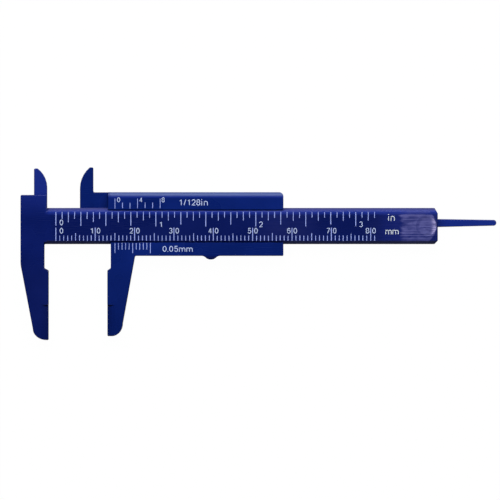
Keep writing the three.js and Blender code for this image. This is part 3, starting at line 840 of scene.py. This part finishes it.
def table():
    """A table that shows white to the camera, and to the caliper only as dim paper."""
    material, tree = new_material("white_table")
    paper = add(tree, "ShaderNodeBsdfDiffuse", {"Color": (*TABLE_WHITE, 1.0)})
    glow = add(tree, "ShaderNodeEmission", {"Strength": TABLE_GLOW})
    path = add(tree, "ShaderNodeLightPath")
    seen = combine(tree, "MULTIPLY", path.outputs["Is Camera Ray"], TABLE_GLOW_SHARE)
    mixed = add(tree, "ShaderNodeMixShader", {0: seen, 1: paper.outputs[0], 2: glow.outputs[0]})
    add(tree, "ShaderNodeOutputMaterial", {"Surface": mixed.outputs[0]})
    bpy.ops.mesh.primitive_plane_add(size=TABLE_SIZE, location=(0, 0, cad_low.z - TABLE_GAP * MM))
    floor = bpy.context.object
    floor.name = "table_top"
    floor.data.materials.append(material)


def lamp(name, azimuth, elevation, width, height, level):
    """A soft box that looks at the caliper. Azimuth 0 is at +Y, the top of the picture, and level is the
    light it puts on a surface that faces it, where 1 shows a colour as it is written."""
    light = bpy.data.lights.new(name, "AREA")
    light.shape = "RECTANGLE"
    light.size = width
    light.size_y = height
    light.energy = level * math.pi ** 2 * LAMP_DISTANCE ** 2
    holder = bpy.data.objects.new(name, light)
    turn = math.radians(azimuth)
    rise = math.radians(elevation)
    away = Vector((math.sin(turn) * math.cos(rise), math.cos(turn) * math.cos(rise), math.sin(rise)))
    holder.location = away * LAMP_DISTANCE
    holder.rotation_euler = away.to_track_quat("Z", "Y").to_euler()
    bpy.context.collection.objects.link(holder)


def surroundings():
    """A dim room, darkest straight above where the camera is, and white where the camera sees it."""
    world = bpy.data.worlds.new("studio")
    world.use_nodes = True
    tree = world.node_tree
    tree.nodes.clear()
    direction = add(tree, "ShaderNodeTexCoord").outputs["Generated"]
    up = add(tree, "ShaderNodeSeparateXYZ", {0: direction}).outputs["Z"]
    room = span(tree, up, *ROOM_BRIGHTNESS, smooth=True)
    path = add(tree, "ShaderNodeLightPath")
    dim = add(tree, "ShaderNodeBackground", {"Color": (*LAMP_WHITE, 1.0), "Strength": room})
    white = add(tree, "ShaderNodeBackground", {"Color": (*LAMP_WHITE, 1.0), "Strength": 1.0})
    mixed = add(tree, "ShaderNodeMixShader", {
        0: path.outputs["Is Camera Ray"], 1: dim.outputs[0], 2: white.outputs[0]})
    add(tree, "ShaderNodeOutputWorld", {"Surface": mixed.outputs[0]})
    bpy.context.scene.world = world


def camera():
    """A long lens straight above, placed so that the beam lies where the photograph has it along x."""
    data = bpy.data.cameras.new("camera")
    view_width = PICTURE_PIXELS / PIXELS_PER_MM
    data.sensor_width = SENSOR_MM
    data.lens = SENSOR_MM * CAMERA_HEIGHT / view_width
    data.clip_end = VIEW_END
    holder = bpy.data.objects.new("camera", data)
    x = fixed_x + (PICTURE_PIXELS / 2 - FACE_PIXEL) / PIXELS_PER_MM
    y = centre_y + (CENTRE_LINE_PIXEL - PICTURE_PIXELS / 2) / PIXELS_PER_MM
    holder.location = Vector((x, y, beam_high.z + CAMERA_HEIGHT)) * MM
    bpy.context.collection.objects.link(holder)
    bpy.context.scene.camera = holder


def build_caliper():
    """The three mouldings, and then the ink on the beam and on the slider's rails."""
    beam_plastic = plastic("beam_blue_plastic", BEAM_BLUE, beam_thin, beam_ground, beam_scuff, SCUFF_AND_SHEEN_BLUE)
    slider_plastic = plastic("slider_blue_plastic", SLIDER_BLUE, slider_thin, slider_ground, rail_scuff,
                             RAIL_EDGE_HIGHLIGHT_BLUE)
    mark_ink = ink("printed_mark_ink", MARK_WHITE)
    number_ink = ink("printed_number_ink", NUMBER_WHITE)
    unit_ink = ink("printed_unit_ink", UNIT_WHITE)
    moulded("beam", "beam", beam_plastic, EDGE_RADIUS, is_beam_crisp, beam_high.z)
    # The rails lie lower by the ink's thickness, so that the ink on them ends level with the solid
    print_level = slider_high.z - INK_THICKNESS
    moulded("slider", "slider", slider_plastic, EDGE_RADIUS, is_slider_crisp, print_level)
    moulded("spring_tongue", "spring_tongue", slider_plastic, TONGUE_EDGE_RADIUS, at_tongue_root)

    on_beam = (fixed_x, beam_high.z, "beam")
    on_slider = (moving_x, print_level, "slider")
    print_marks("beam_mm_marks", beam_mm_marks(), *on_beam, mark_ink)
    print_marks("beam_inch_marks", beam_inch_marks(), *on_beam, mark_ink)
    print_words("beam_numbers", beam_numbers(), *on_beam, number_ink)
    print_words("beam_unit_words", UNIT_WORDS, *on_beam, unit_ink)
    print_marks("inch_vernier_marks", inch_vernier_marks(), *on_slider, mark_ink)
    print_words("inch_vernier_numbers", inch_vernier_numbers(), *on_slider, number_ink)
    print_marks("mm_vernier_marks", mm_vernier_marks(), *on_slider, mark_ink)
    print_words("vernier_words", VERNIER_WORDS, *on_slider, number_ink)


def light_scene():
    for name, values in LAMPS.items():
        lamp(name, *values)


build_caliper()
table()
light_scene()
surroundings()
camera()
bpy.context.scene.view_settings.view_transform = "Standard"
